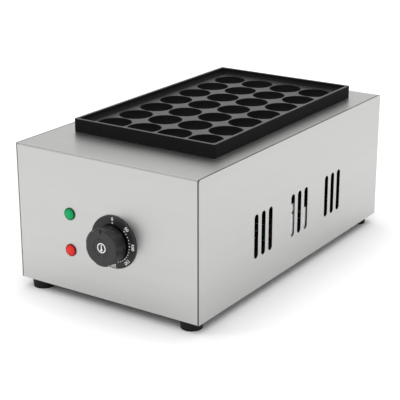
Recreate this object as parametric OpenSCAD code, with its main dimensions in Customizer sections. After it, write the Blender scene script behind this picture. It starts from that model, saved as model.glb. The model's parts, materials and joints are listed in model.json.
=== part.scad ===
// Countertop takoyaki maker: a folded sheet box on rubber feet, a cast pan of round cups that
// lifts off, tubular heaters in the lanes between the cups, and a capillary thermostat.
// Millimetres. X runs across the front, Y to the rear, Z up; the feet stand on z = 0.

/* [Sheet box] */
// Width across the side panels
body_w = 230; // [228:1:260]
// Depth from front sheet to rear sheet
body_d = 394; // [384:2:430]
// Height of the box without its feet
body_h = 151; // [146:1:180]
// Thickness of the stainless sheet
sheet_t = 1; // [0.8:0.1:1.2]
// Outside radius of the folds
bend_r = 2; // [1.5:0.1:3]
// Open seam between the cover's edge and a side panel
seam_gap = 0.8; // [0.2:0.1:1.2]
// Width of the folded inner flanges
flange_w = 12; // [11:0.5:12]

/* [Vents] */
// Length of a vent slot
vent_l = 49; // [30:1:60]
// Width of a vent slot
vent_w = 8; // [5:0.5:10]
// Slot to slot within a group
vent_pitch = 14.5; // [12:0.5:18]
// Group to group
vent_group_pitch = 77; // [60:1:100]
// Middle of the slots above the underside of the box
vent_z = 60; // [45:1:75]
// Middle group behind the middle of the box
vent_y = 2; // [0:0.5:10]

/* [Pan] */
// Outer width of the pan
pan_w = 180; // [160:1:190]
// Outer length of the pan
pan_l = 295; // [265:1:310]
// Height of the rim above the box
pan_h = 14.5; // [12:0.5:20]
// Height of the cooking surface above the box
pan_floor = 7.8; // [7:0.1:9]
// Thickness of the casting under the cooking surface
pan_t = 4; // [3:0.5:5]
// Thickness of the rim wall
rim_t = 3.5; // [3:0.1:4]
// Round between the rim wall and the cooking surface
pan_round = 4; // [3:0.5:5]
// Middle of the pan behind the middle of the box
pan_y = 16.5; // [12:0.5:20]
// Width of the seat on the box round the cut-out
pan_seat = 8; // [7:0.5:8.5]

/* [Cups] */
// Cup to cup across
cup_pitch_x = 39.3; // [38:0.1:42]
// Cup to cup from front to rear
cup_pitch_y = 38.8; // [38:0.1:42]
// Diameter of a cup at the cooking surface
cup_d = 36.4; // [35:0.1:37]
// Thickness of a cup's wall
cup_wall = 3.5; // [2.5:0.1:4]
// Chamfer round the mouth of a cup
cup_lip = 0.6; // [0.3:0.1:0.8]

/* [Heaters] */
// Diameter of a heater tube
heater_d = 8; // [6:0.5:8.5]
// Heater's middle below the cooking surface
heater_drop = 20; // [19:0.5:22]
// Depth of the reflector tray under the top sheet
tray_h = 24; // [22:1:30]
// Thickness of the tray and comb sheet
tray_t = 1; // [0.8:0.1:1.2]
// Width of the tray's front and rear flanges under the top sheet
tray_flange = 10; // [6:0.5:11]
// Diameter of the sensor bulb
bulb_d = 6; // [5:0.5:6.5]
// Length of the sensor bulb
bulb_l = 90; // [60:5:120]
// Diameter of the capillary tube
capillary_d = 1.6; // [1.2:0.1:2]

/* [Controls] */
// Knob axis to the right of the middle
dial_x = 12; // [8:1:16]
// Knob axis above the underside of the box
dial_z = 67; // [55:1:75]
// Diameter of the dial ring
dial_d = 56.6; // [50:0.2:62]
// Thickness of the dial ring
dial_t = 2.4; // [2.3:0.1:3]
// Diameter of the knob
knob_d = 40.5; // [38:0.5:44]
// Front of the knob in front of the box
knob_reach = 22; // [20:0.5:26]
// Number of finger scallops round the knob
knob_lobes = 6; // [5:1:8]
// Diameter of the spindle
spindle_d = 6; // [5:0.5:6.5]
// Distance between the thermostat's two screws
stat_pitch = 28; // [26:1:30]
// Lamps to the left of the middle
lamp_x = 45; // [40:1:60]
// Middle between the lamps above the underside of the box
lamp_z = 65.5; // [60:0.5:75]
// Lamp to lamp
lamp_pitch = 40; // [30:1:50]
// Diameter of a lamp lens
lamp_d = 13.4; // [13:0.2:16]

/* [Wiring] */
// Diameter of a power wire over its sleeve
wire_d = 2.6; // [2:0.1:2.8]
// Radius of a power wire's bends
wire_bend = 5; // [4:0.1:5]
// Diameter of a lamp wire
lamp_wire_d = 1.6; // [1.2:0.1:1.6]

/* [Feet and rear] */
// Height of the feet
foot_h = 11; // [9:0.5:16]
// Diameter of a foot where it meets the box
foot_d = 24; // [22:0.5:25]
// Diameter of a foot where it stands
foot_tip_d = 22.4; // [20:0.2:22.4]
// Front and rear feet from the inside of the front and rear sheets
foot_edge = 13; // [13:0.5:20]
// Gland and earth stud from the side faces of the box
rear_edge = 45; // [40:1:60]
// Gland above the underside of the box
gland_z = 32; // [28:1:45]
// Outer end of the gland behind the box
gland_reach = 24; // [22:0.5:30]
// Diameter of cord that the gland takes
cord_d = 10; // [8:0.5:10.5]

/* [Hidden] */
$fn = 48;

// Cutters reach this far past the faces they cut
past = 1;
// Radial play of a screw in its clearance hole
hole_play = 0.25;
// Radial play of a thread, a tube or a fixed pin in its own hole
snug = 0.05;

// The box sits so that knob and gland end at equal distances from y = 0
body_y = (knob_reach - gland_reach) / 2;
inner_w = body_w - 2 * sheet_t;
inner_d = body_d - 2 * sheet_t;
cover_w = inner_w - 2 * seam_gap;

// Heights above the underside of the box
pan_surface = body_h + pan_floor;
tray_floor = body_h - sheet_t - tray_h;
heater_z = pan_surface - heater_drop;

// Cut-out in the top sheet, and the tray round it
cut_w = pan_w - 2 * pan_seat;
cut_l = pan_l - 2 * pan_seat;
cut_round = 6;
lip_h = 6;
tray_room = 6;
tray_w = cut_w + 2 * tray_room;
tray_l = cut_l + 2 * tray_room;
tray_front = pan_y - tray_l / 2 - tray_t;
tray_gap = 4;
tray_flange_x = inner_w / 2 - flange_w - tray_gap;

// As many cups as the cut-out takes, and the heater lanes between their rows
bump_r = cup_d / 2 + cup_wall;
bump_play = 0.8;
cups_across = 1 + floor((cut_w - 2 * bump_r - 2 * bump_play) / cup_pitch_x);
cups_deep = 1 + floor((cut_l - 2 * bump_r - 2 * bump_play) / cup_pitch_y);
cup_x = [for (i = [0:cups_across - 1]) (i - (cups_across - 1) / 2) * cup_pitch_x];
cup_y = [for (i = [0:cups_deep - 1]) pan_y + (i - (cups_deep - 1) / 2) * cup_pitch_y];
heater_x = (cups_across - 1) / 2 * cup_pitch_x;
leg_x = [for (s = [-1, 1], t = [-0.5, 0.5]) s * heater_x + t * cup_pitch_x];
heater_bend_y = cup_y[cups_deep - 1];
heater_tail = 14;
heater_end = tray_front - heater_tail;
support_y = [cup_y[0] + cup_pitch_y / 2, cup_y[cups_deep - 1] - cup_pitch_y / 2];
bulb_rise = 5.7;
bulb_drop = 0.8 + bulb_d / 2;
bulb_z = pan_surface - bump_r + (cups_across % 2 == 0 ? bulb_rise : -bulb_drop);
bulb_y = cup_y[0] + cup_pitch_y / 4;

// Heater fittings
fit_wall = 1.5;
fit_shank_d = heater_d + 2 * fit_wall;
fit_af = fit_shank_d + 2 * fit_wall;
fit_flange_t = 3;
heater_nut_t = 4;
fit_shank_l = tray_t + heater_nut_t + 2;
bead_lip = 0.5;
bead_d = heater_d + 2 * bead_lip;
bead_l = 7;
stud_d = 4;
stud_nut_af = 7;
stud_nut_t = 2.5;
stud_mid_nut_t = 3;
lug_t = 1;
stud_stack = bead_l + 2 * stud_nut_t + stud_mid_nut_t + 2 * lug_t;
stud_l = stud_stack + 1;
// Lugs lie between the nuts: the near one first, then the far one
near_lug = bead_l + stud_nut_t;
far_lug = near_lug + lug_t + stud_mid_nut_t;

// Thermostat
plate_t = 1.5;
plate_side = 7;
plate_tall = 26;
plate_round = 4;
boss_d = 10;
boss_l = sheet_t + 1.6;
stat_w = 30;
stat_tall = 32;
stat_blade_x = 13;
stat_blade_z = dial_z - stat_tall / 4;
stat_blade_l = 8;
stat_blade_w = 6.3;
stat_blade_t = 0.8;
stat_deep = 26;
stat_round = 3;
stat_back = -body_d / 2 + sheet_t + plate_t + stat_deep;
stat_screw_d = 4;
stat_head_d = 7.4;
stat_head_h = 2;
stat_head_sink = 0.2;
stat_screw_in = 3;
spindle_in = 8;
capillary_bend = 6;
capillary_in = 3;
capillary_up = 6;
capillary_z = dial_z + capillary_up;

// Knob
knob_gap = 0.8;
knob_back = dial_t + knob_gap;
knob_edge = 2;
knob_base_d = knob_d - 1.6;
scallop_r = 13;
scallop_depth = 1.5;
dish_d = 20;
dish_depth = 0.8;
symbol_d = 10.6;
symbol_line = 1.1;
symbol_t = 0.4;
knob_bore_l = 12;
knob_web = 2;
spindle_flat = 1.4;
// Side of the knob from back to front, in radius and height
knob_side = [[0, knob_back], [knob_base_d / 2, knob_back], [knob_base_d / 2, knob_back + 3],
    [knob_d / 2, knob_reach - knob_edge], [knob_d / 2 - knob_edge * 0.3, knob_reach - knob_edge * 0.3],
    [knob_d / 2 - knob_edge, knob_reach], [0, knob_reach]];

// Lamps
lamp_body_d = lamp_d - 4;
lamp_body_l = 26;
lamp_rim_h = 1.4;
lamp_dome_d = lamp_d - 3.4;
lamp_dome_h = 1;
lamp_nut_t = 3;
lamp_tail_l = 6;
lamp_tail_x = 2.2;
lamp_heights = [lamp_z - lamp_pitch / 2, lamp_z + lamp_pitch / 2];

// Screws and nuts
base_screw_d = 3.9;
base_head_d = 7.6;
base_head_h = 2.2;
base_screw_l = 7;
base_screw_x = inner_w / 2 - flange_w / 2;
base_screw_y = [-0.36, -0.15, 0.15, 0.36] * body_d;
foot_screw_d = 5;
foot_nut_af = 8;
foot_nut_t = 4;
foot_head_d = 9;
foot_head_h = 3;
foot_washer_d = 13;
foot_washer_t = 1;
foot_web = foot_h - foot_head_h - foot_washer_t - 1;
foot_recess_d = 14;
foot_x = inner_w / 2 - flange_w - foot_nut_af / 2 / cos(30) - 0.6;
foot_y = inner_d / 2 - foot_edge;
cover_flange_w = 2 * (foot_x - foot_d / 2 - 4);

// Terminal bracket behind the middle vents of the right panel
bracket_gap = 1.4;
bracket_x = inner_w / 2 - bracket_gap - tray_t;
bracket_foot = 11;
bracket_wide = 21;
bracket_window = 10.5;
bracket_narrow = 9.5;
bracket_lead = 22;
bracket_y = vent_y - bracket_lead;
bracket_top = 72;
bracket_low_top = 60;
bracket_web = 14;
bracket_z = 2 * sheet_t;
block_w = 18;
block_tall = 36;
block_deep = 16;
block_poles = 3;
block_z = 30;
block_y = bracket_y + bracket_wide / 2;
block_screw_d = 3;
block_screw_z = 14;
block_bore_d = 5;
block_well_d = 4;
pole_x = bracket_x - block_deep * 0.6;
pole_z = [for (i = [0:block_poles - 1]) block_z + (i + 0.5) * block_tall / block_poles];
bracket_screw_y = [bracket_y + 6, bracket_y + bracket_wide + bracket_window + bracket_narrow / 2];

// Cord gland
gland_shank_d = 20;
gland_af = 24;
gland_flange_t = 5;
gland_inside = 10;
gland_nut_t = 5;
gland_nose_d = 18;
gland_nose_l = 5;
gland_bore_d = cord_d + 2.5;
gland_cap_af = 22;
gland_cap_hex_l = 9;
gland_exit_l = 4;
gland_seal_d = 16;
gland_hollow = gland_reach - gland_exit_l;
rear_x = body_w / 2 - rear_edge;

// Earth stud
earth_z = 24;
earth_d = 5;
earth_out = 18;
earth_head_af = 8;
earth_head_h = 3.5;
earth_nut_t = 4;
earth_washer_d = 10;
earth_washer_t = 1;

// Push-on terminals on the thermostat's blades
push_on = [9, 3, stat_blade_l + 3.8];
push_play = 0.15;
push_back = stat_back + 0.2 + push_on[2];

// Lugs: a ring with a tab down to its barrel, in which the wire ends
lug_d = 8;
lug_tab_w = 4;
lug_barrel_d = 3.4;
lug_barrel_top = 4.6;
lug_barrel_rise = lug_barrel_d / 2 + 0.1;
lug_reach = 12.8;

// Wire routes: how far each run across lies below the lugs
switched_link_drop = 12;
neutral_link_drop = 19;
neutral_run_drop = 14;
switched_run_drop = 22;
lamp_run_drop = 14;
lug_z = heater_z - lug_reach;
near_y = heater_end - near_lug - lug_t / 2;
far_y = heater_end - far_lug - lug_t / 2;
switched_link_z = lug_z - switched_link_drop;
neutral_link_z = lug_z - neutral_link_drop;
neutral_run_z = lug_z - neutral_run_drop;
switched_run_z = lug_z - switched_run_drop;
lamp_run_z = lug_z - lamp_run_drop;

// How far the wires run straight behind the blades, lugs and lamps before they turn
blade_lead = wire_bend + 1.7;
switched_lead = 18;
neutral_lead = 14;
lamp_lead = 8;
blade_turn_y = push_back + blade_lead;
switched_turn_y = max(near_y + switched_lead, blade_turn_y);
neutral_turn_y = near_y + neutral_lead;
lamp_tail_y = -body_d / 2 + lamp_body_l + lamp_tail_l;
lamp_turn_y = max(near_y, lamp_tail_y) + lamp_lead;

// Height of the lowest runs, and how far the wires stand off the block, across and to its front
wire_floor = 12;
clamp_past = 2;
live_off = 17;
neutral_off = [11.4, 11];
earth_off = [20, 7];
earth_rise = 16;
earth_lead = 14;
block_front = block_y - block_w / 2;
clamp_y = block_y - block_w / 4 + clamp_past;
live_turn_y = block_front - live_off;
neutral_off_y = block_front - neutral_off[1];
neutral_off_x = pole_x - neutral_off[0];
earth_off_y = block_front - earth_off[1];
earth_off_x = pole_x - earth_off[0];
earth_up_z = pole_z[0] + earth_rise;
earth_lug_y = body_d / 2 - sheet_t - lug_barrel_rise;
earth_turn_y = earth_lug_y - earth_lead;
blade_pair = 1.6;
live_x = dial_x + stat_blade_x;
live_z = stat_blade_z - blade_pair;
switched_x = dial_x - stat_blade_x;
live_route = [[pole_x, clamp_y, pole_z[2]], [pole_x, live_turn_y, pole_z[2]],
    [pole_x, live_turn_y, wire_floor], [pole_x, blade_turn_y, wire_floor], [live_x, blade_turn_y, wire_floor],
    [live_x, blade_turn_y, live_z], [live_x, push_back, live_z]];
switched_route = [[switched_x, push_back, stat_blade_z], [switched_x, switched_turn_y, stat_blade_z],
    [switched_x, switched_turn_y, switched_run_z], [leg_x[1], switched_turn_y, switched_run_z],
    [leg_x[1], near_y, switched_run_z], [leg_x[1], near_y, lug_z]];
switched_link = [[leg_x[1], far_y, lug_z], [leg_x[1], far_y, switched_link_z],
    [leg_x[2], far_y, switched_link_z], [leg_x[2], far_y, lug_z]];
neutral_route = [[pole_x, clamp_y, pole_z[1]], [pole_x, neutral_off_y, pole_z[1]],
    [neutral_off_x, neutral_off_y, pole_z[1]], [neutral_off_x, neutral_off_y, wire_floor],
    [neutral_off_x, neutral_turn_y, wire_floor], [neutral_off_x, neutral_turn_y, neutral_run_z],
    [leg_x[3], neutral_turn_y, neutral_run_z], [leg_x[3], near_y, neutral_run_z], [leg_x[3], near_y, lug_z]];
neutral_link = [[leg_x[0], far_y, lug_z], [leg_x[0], far_y, neutral_link_z],
    [leg_x[3], far_y, neutral_link_z], [leg_x[3], far_y, lug_z]];
earth_route = [[pole_x, clamp_y, pole_z[0]], [pole_x, earth_off_y, pole_z[0]],
    [earth_off_x, earth_off_y, pole_z[0]], [earth_off_x, earth_turn_y, pole_z[0]],
    [earth_off_x, earth_turn_y, earth_up_z], [rear_x, earth_turn_y, earth_up_z],
    [rear_x, earth_lug_y, earth_up_z], [rear_x, earth_lug_y, earth_z + lug_reach]];

// ---------- shared shapes ----------

// Moves a piece from the box's own frame, with z = 0 at its underside, to where it stands
module placed() {
    translate([0, body_y, foot_h]) children();
}

// Frame on the front sheet: local x to the right, y up, z outward
module on_front(x, z) {
    placed() translate([x, -body_d / 2, z]) rotate([90, 0, 0]) children();
}

// Frame on the rear sheet: local y up, z outward
module on_rear(x, z) {
    placed() translate([x, body_d / 2, z]) rotate([-90, 0, 0]) mirror([0, 1, 0]) children();
}

// Rectangle with round corners
module soft_rect(w, l, r) {
    square([w - 2 * r, l], center = true);
    square([w, l - 2 * r], center = true);
    for (x = [-1, 1], y = [-1, 1]) translate([x * (w / 2 - r), y * (l / 2 - r)]) circle(r);
}

// Straight pocket with round corners and the same round along its floor
module soft_pocket(w, l, h, r) {
    translate([0, 0, r]) linear_extrude(h - r) soft_rect(w, l, r);
    translate([0, 0, r]) cube([w - 2 * r, l - 2 * r, 2 * r], center = true);
    for (s = [-1, 1]) {
        translate([s * (w / 2 - r), 0, r]) rotate([90, 0, 0]) cylinder(r = r, h = l - 2 * r, center = true);
        translate([0, s * (l / 2 - r), r]) rotate([0, 90, 0]) cylinder(r = r, h = w - 2 * r, center = true);
        for (t = [-1, 1]) translate([s * (w / 2 - r), t * (l / 2 - r), r]) sphere(r);
    }
}

// Hexagonal prism, by its width across flats
module hex_prism(af, h) {
    cylinder(d = af / cos(30), h = h, $fn = 6);
}

// Hexagon nut with its underside at z = 0
module nut(af, h, hole_d) {
    difference() {
        hex_prism(af, h);
        translate([0, 0, -past]) cylinder(d = hole_d, h = h + 2 * past);
    }
}

// Flat ring with its underside at z = 0
module washer(outer_d, inner_d, h) {
    difference() {
        cylinder(d = outer_d, h = h);
        translate([0, 0, -past]) cylinder(d = inner_d, h = h + 2 * past);
    }
}

// Round-headed screw with its head under z = 0, its shank up from there and a cross slot
module screw(d, l, head_d, head_h) {
    cylinder(d = d, h = l);
    difference() {
        translate([0, 0, -head_h]) cylinder(d1 = head_d * 0.8, d2 = head_d, h = head_h);
        for (a = [0, 90]) rotate([0, 0, a])
            translate([0, 0, -head_h]) cube([head_d * 0.55, head_d * 0.12, head_h], center = true);
    }
}

// Turns local z to an axis-parallel direction
module along(u) {
    v = [u[1], u[2], u[0]];
    w = cross(u, v);
    multmatrix([[v[0], w[0], u[0], 0], [v[1], w[1], u[1], 0], [v[2], w[2], u[2], 0]]) children();
}

function unit(v) = v / norm(v);

// Round tube along axis-parallel runs, with a bend of radius r at each corner between them
module tube_run(p, d, r) {
    last = len(p) - 1;
    for (i = [0:last - 1]) {
        u = unit(p[i + 1] - p[i]);
        start = i == 0 ? 0 : r;
        end = norm(p[i + 1] - p[i]) - (i == last - 1 ? 0 : r);
        translate(p[i] + start * u) along(u) cylinder(d = d, h = end - start);
    }
    for (i = [1:last - 1]) {
        a = unit(p[i] - p[i - 1]);
        b = unit(p[i + 1] - p[i]);
        c = p[i] + r * (b - a);
        k = cross(a, b);
        multmatrix([[-b[0], a[0], k[0], c[0]], [-b[1], a[1], k[1], c[1]], [-b[2], a[2], k[2], c[2]]])
            rotate_extrude(angle = 90) translate([r, 0]) circle(d = d);
    }
}

// ---------- sheet housing ----------

// Outline of the folded sheet seen from the side, drawn in by inset, reaching drop below it
module fold_outline(inset, drop) {
    w = body_d - 2 * inset;
    h = body_h - inset;
    r = bend_r - inset;
    translate([-w / 2, -drop]) square([w, h - r + drop]);
    translate([-w / 2 + r, -drop]) square([w - 2 * r, h + drop]);
    for (s = [-1, 1]) translate([s * (w / 2 - r), h - r]) circle(r);
}

module wrap_cover() color("silver") placed() difference() {
    union() {
        rotate([90, 0, 90]) linear_extrude(cover_w, center = true) difference() {
            fold_outline(0, 0);
            fold_outline(sheet_t, past);
        }
        // lip turned down round the cut-out
        translate([0, pan_y, body_h - sheet_t - lip_h]) linear_extrude(lip_h + sheet_t / 2)
            soft_rect(cut_w + 2 * sheet_t, cut_l + 2 * sheet_t, cut_round + sheet_t);
        // flanges over the base plate
        for (s = [-1, 1]) translate([0, s * (inner_d / 2 - flange_w / 2 + sheet_t / 4), 1.5 * sheet_t])
            cube([cover_flange_w, flange_w + sheet_t / 2, sheet_t], center = true);
    }
    translate([0, pan_y, body_h - sheet_t - lip_h - past]) linear_extrude(lip_h + sheet_t + 2 * past)
        soft_rect(cut_w, cut_l, cut_round);
    front_drill(dial_x, dial_z, boss_d / 2 + hole_play);
    for (s = [-1, 1]) {
        front_drill(dial_x + s * stat_pitch / 2, dial_z, stat_screw_d / 2 + hole_play);
        front_drill(-lamp_x, lamp_z + s * lamp_pitch / 2, lamp_body_d / 2 + hole_play);
    }
    rear_drill(-rear_x, gland_z, gland_shank_d / 2 + hole_play);
    rear_drill(rear_x, earth_z, earth_d / 2 + hole_play);
    for (x = [-0.3, 0.3], s = [-1, 1]) translate([x * body_w, s * (inner_d / 2 - flange_w / 2), 0])
        cylinder(r = base_screw_d / 2 + snug, h = flange_w / 2);
}

// Round hole through the front sheet
module front_drill(x, z, r) {
    translate([x, -body_d / 2 - past, z]) rotate([-90, 0, 0]) cylinder(r = r, h = sheet_t + 2 * past);
}

// Round hole through the rear sheet
module rear_drill(x, z, r) {
    translate([x, body_d / 2 + past, z]) rotate([90, 0, 0]) cylinder(r = r, h = sheet_t + 2 * past);
}

// Flat panel with round-ended vent slots and flanges folded in behind its edges
module side_panel() color("silver") placed() difference() {
    flange_d = inner_d - 2 * bend_r - 4;
    x_in = inner_w / 2 - flange_w;
    union() {
        translate([inner_w / 2, 0, 0]) rotate([90, 0, 90]) linear_extrude(sheet_t) fold_outline(0, 0);
        for (z = [sheet_t, body_h - 2 * sheet_t])
            translate([x_in, -flange_d / 2, z]) cube([flange_w + sheet_t / 2, flange_d, sheet_t]);
        for (y = [-inner_d / 2, inner_d / 2 - sheet_t])
            translate([x_in, y, bend_r + 3]) cube([flange_w + sheet_t / 2, sheet_t, body_h - 2 * bend_r - 6]);
    }
    for (g = [-1, 0, 1], i = [-1, 0, 1]) {
        y = vent_y + g * vent_group_pitch + i * vent_pitch;
        translate([inner_w / 2 - past, y, vent_z]) rotate([90, 0, 90])
            linear_extrude(sheet_t + 2 * past) vent_slot(vent_l, vent_w);
    }
    for (y = concat(base_screw_y, bracket_screw_y))
        translate([base_screw_x, y, 0]) cylinder(r = base_screw_d / 2 + snug, h = flange_w / 2);
}

module vent_slot(l, w) {
    square([w, l - w], center = true);
    for (s = [-1, 1]) translate([0, s * (l - w) / 2]) circle(d = w);
}

module side_panel_right() side_panel();
module side_panel_left() mirror([1, 0, 0]) side_panel();

module base_plate() color("gainsboro") placed() difference() {
    play = 0.3;
    slot_l = 46;
    slot_w = 5;
    slot_x = 34;
    slot_pitch = 22;
    slots_each_way = floor((tray_l / 2 - tray_room) / slot_pitch) - 1;
    translate([-inner_w / 2 + play, -inner_d / 2 + play, 0])
        cube([inner_w - 2 * play, inner_d - 2 * play, sheet_t]);
    for (x = [-foot_x, foot_x], y = [-foot_y, foot_y])
        translate([x, y, -past]) cylinder(r = foot_screw_d / 2 + hole_play, h = sheet_t + 2 * past);
    for (p = base_screw_places())
        translate([p[0], p[1], -past]) cylinder(r = base_screw_d / 2 + hole_play, h = sheet_t + 2 * past);
    for (y = bracket_screw_y, x = [-base_screw_x, base_screw_x])
        translate([x, y, -past]) cylinder(r = base_screw_d / 2 + hole_play, h = sheet_t + 2 * past);
    // air slots under the heaters
    for (i = [-slots_each_way:slots_each_way], s = [-1, 1])
        translate([s * slot_x, pan_y + i * slot_pitch, -past]) rotate([0, 0, 90])
            linear_extrude(sheet_t + 2 * past) vent_slot(slot_l, slot_w);
}

function base_screw_places() = concat(
    [for (x = [-base_screw_x, base_screw_x], y = base_screw_y) [x, y]],
    [for (x = [-0.3, 0.3] * body_w, s = [-1, 1]) [x, s * (inner_d / 2 - flange_w / 2)]]);

module base_screws() color("dimgray") placed()
    for (p = base_screw_places()) translate([p[0], p[1], 0])
        screw(base_screw_d, base_screw_l, base_head_d, base_head_h);

// ---------- feet ----------

// Tapered rubber foot with a recess that hides its screw
module foot(sx, sy) color("#1c1c1c") translate([sx * foot_x, body_y + sy * foot_y, 0]) difference() {
    cylinder(d1 = foot_tip_d, d2 = foot_d, h = foot_h);
    translate([0, 0, -past]) cylinder(d = foot_recess_d, h = foot_h - foot_web + past);
    cylinder(r = foot_screw_d / 2 + hole_play, h = foot_h + past);
}

module foot_front_left() foot(-1, -1);
module foot_front_right() foot(1, -1);
module foot_rear_left() foot(-1, 1);
module foot_rear_right() foot(1, 1);

// Repeats a piece over the four feet
module at_feet(z) {
    for (x = [-foot_x, foot_x], y = [-foot_y, foot_y]) placed() translate([x, y, z]) children();
}

module foot_washers() color("silver") at_feet(-foot_web - foot_washer_t)
    washer(foot_washer_d, foot_screw_d + 2 * hole_play, foot_washer_t);

module foot_screws() color("silver") at_feet(-foot_web - foot_washer_t)
    screw(foot_screw_d, foot_web + foot_washer_t + sheet_t + foot_nut_t + 2, foot_head_d, foot_head_h);

module foot_nuts() color("silver") at_feet(sheet_t)
    nut(foot_nut_af, foot_nut_t, foot_screw_d + 2 * snug);

// ---------- pan ----------

module at_cups() {
    for (x = cup_x, y = cup_y) translate([x, y, pan_surface]) children();
}

// Lower half of a ball
module bowl(r) {
    rotate_extrude() intersection() {
        circle(r);
        translate([0, -r]) square(r);
    }
}

module baking_pan() color("#17181a") placed() difference() {
    union() {
        translate([0, pan_y, body_h]) difference() {
            linear_extrude(pan_h) soft_rect(pan_w, pan_l, 2);
            translate([0, 0, -past]) linear_extrude(pan_floor - pan_t + past)
                soft_rect(pan_w - 2 * rim_t, pan_l - 2 * rim_t, pan_round);
        }
        at_cups() bowl(bump_r);
    }
    translate([0, pan_y, pan_surface])
        soft_pocket(pan_w - 2 * rim_t, pan_l - 2 * rim_t, pan_h, pan_round);
    at_cups() {
        sphere(cup_d / 2);
        translate([0, 0, -cup_lip]) cylinder(d1 = cup_d - cup_lip, d2 = cup_d + 2 * cup_lip, h = cup_lip);
    }
}

// ---------- reflector, supports and heaters ----------

// Round hole along Y
module drill_y(x, z, y, l, r) {
    translate([x, y, z]) rotate([-90, 0, 0]) cylinder(r = r, h = l);
}

module reflector_tray() color("lightgray") placed() difference() {
    translate([0, pan_y, tray_floor]) difference() {
        union() {
            linear_extrude(tray_h) soft_rect(tray_w + 2 * tray_t, tray_l + 2 * tray_t, 3);
            translate([0, 0, tray_h - tray_t]) linear_extrude(tray_t)
                soft_rect(2 * tray_flange_x, tray_l + 2 * tray_flange, 3);
        }
        translate([0, 0, tray_t]) linear_extrude(tray_h) soft_rect(tray_w, tray_l, 3 - tray_t);
    }
    for (x = leg_x) drill_y(x, heater_z, tray_front - past, tray_t + 2 * past, fit_shank_d / 2 + snug);
    drill_y(0, bulb_z, tray_front - past, tray_t + 2 * past, capillary_d / 2 + hole_play);
}

// Comb that stands on the tray floor, with a saddle for each heater leg and the bulb
module support(y) color("lightgray") placed() difference() {
    prong_w = bulb_d + 6;
    foot_l = 8;
    w = tray_w - 6;
    union() {
        translate([-w / 2, y - tray_t / 2, tray_floor + tray_t])
            cube([w, tray_t, heater_z - tray_floor - tray_t]);
        translate([-w / 2, y - tray_t / 2, tray_floor + tray_t]) cube([w, foot_l, tray_t]);
        translate([-prong_w / 2, y - tray_t / 2, tray_floor + tray_t])
            cube([prong_w, tray_t, bulb_z - tray_floor - tray_t]);
    }
    for (x = leg_x) drill_y(x, heater_z, y - foot_l, 2 * foot_l, heater_d / 2 + snug);
    drill_y(0, bulb_z, y - foot_l, 2 * foot_l, bulb_d / 2 + snug);
}

module support_front() support(support_y[0]);
module support_rear() support(support_y[1]);

// Hairpin tube with its bend round the last cup of the lane
module heater(side) color("slategray") placed() translate([side * heater_x, 0, heater_z]) {
    translate([0, heater_bend_y, 0]) rotate_extrude(angle = 180)
        translate([cup_pitch_x / 2, 0]) circle(d = heater_d);
    for (s = [-0.5, 0.5]) drill_y(s * cup_pitch_x, 0, heater_end, heater_bend_y - heater_end, heater_d / 2);
}

module heater_left() heater(-1);
module heater_right() heater(1);

// Repeats a piece over the heater legs, local z pointing forward from the tray's front wall
module at_legs() {
    for (x = leg_x) placed() translate([x, tray_front, heater_z]) rotate([90, 0, 0]) children();
}

module heater_fittings() color("goldenrod") at_legs() difference() {
    union() {
        translate([0, 0, -tray_t - fit_flange_t]) hex_prism(fit_af, fit_flange_t);
        translate([0, 0, -tray_t - fit_flange_t / 2])
            cylinder(d = fit_shank_d, h = fit_shank_l + fit_flange_t / 2);
    }
    translate([0, 0, -tray_t - fit_flange_t - past])
        cylinder(d = heater_d + 2 * snug, h = fit_shank_l + fit_flange_t + 2 * past);
}

module heater_nuts() color("silver") at_legs() nut(fit_af, heater_nut_t, fit_shank_d + 2 * snug);

module heater_insulators() color("white") at_legs() translate([0, 0, heater_tail])
    washer(bead_d, stud_d + 2 * snug, bead_l);

module heater_studs() color("silver") at_legs() translate([0, 0, heater_tail])
    cylinder(d = stud_d, h = stud_l);

// Three nuts on each stud, which clamp a near and a far lug
module stud_nuts() color("silver") at_legs() translate([0, 0, heater_tail]) {
    hole_d = stud_d + 2 * snug;
    translate([0, 0, bead_l]) nut(stud_nut_af, stud_nut_t, hole_d);
    translate([0, 0, near_lug + lug_t]) nut(stud_nut_af, stud_mid_nut_t, hole_d);
    translate([0, 0, far_lug + lug_t]) nut(stud_nut_af, stud_nut_t, hole_d);
}

// Bulb in the middle lane, and the capillary down to the back of the thermostat
module capillary_sensor() color("#b87333") placed() {
    y_down = stat_back + capillary_bend;
    drill_y(0, bulb_z, bulb_y, bulb_l, bulb_d / 2);
    tube_run([[0, bulb_y, bulb_z], [0, y_down, bulb_z], [0, y_down, capillary_z],
        [0, stat_back - capillary_in, capillary_z]], capillary_d, capillary_bend);
}

// ---------- controls ----------

module thermostat_bracket() color("silver") on_front(dial_x, dial_z) difference() {
    union() {
        translate([0, 0, -sheet_t - plate_t]) linear_extrude(plate_t)
            soft_rect(stat_pitch + 2 * plate_side, plate_tall, plate_round);
        translate([0, 0, -sheet_t - plate_t / 2]) cylinder(d = boss_d, h = boss_l + plate_t / 2);
    }
    translate([0, 0, -sheet_t - plate_t - past])
        cylinder(d = spindle_d + 2 * snug, h = boss_l + plate_t + 2 * past);
    for (s = [-1, 1]) translate([s * stat_pitch / 2, 0, -sheet_t - plate_t - past])
        cylinder(d = stat_screw_d + 2 * snug, h = plate_t + 2 * past);
}

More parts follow.
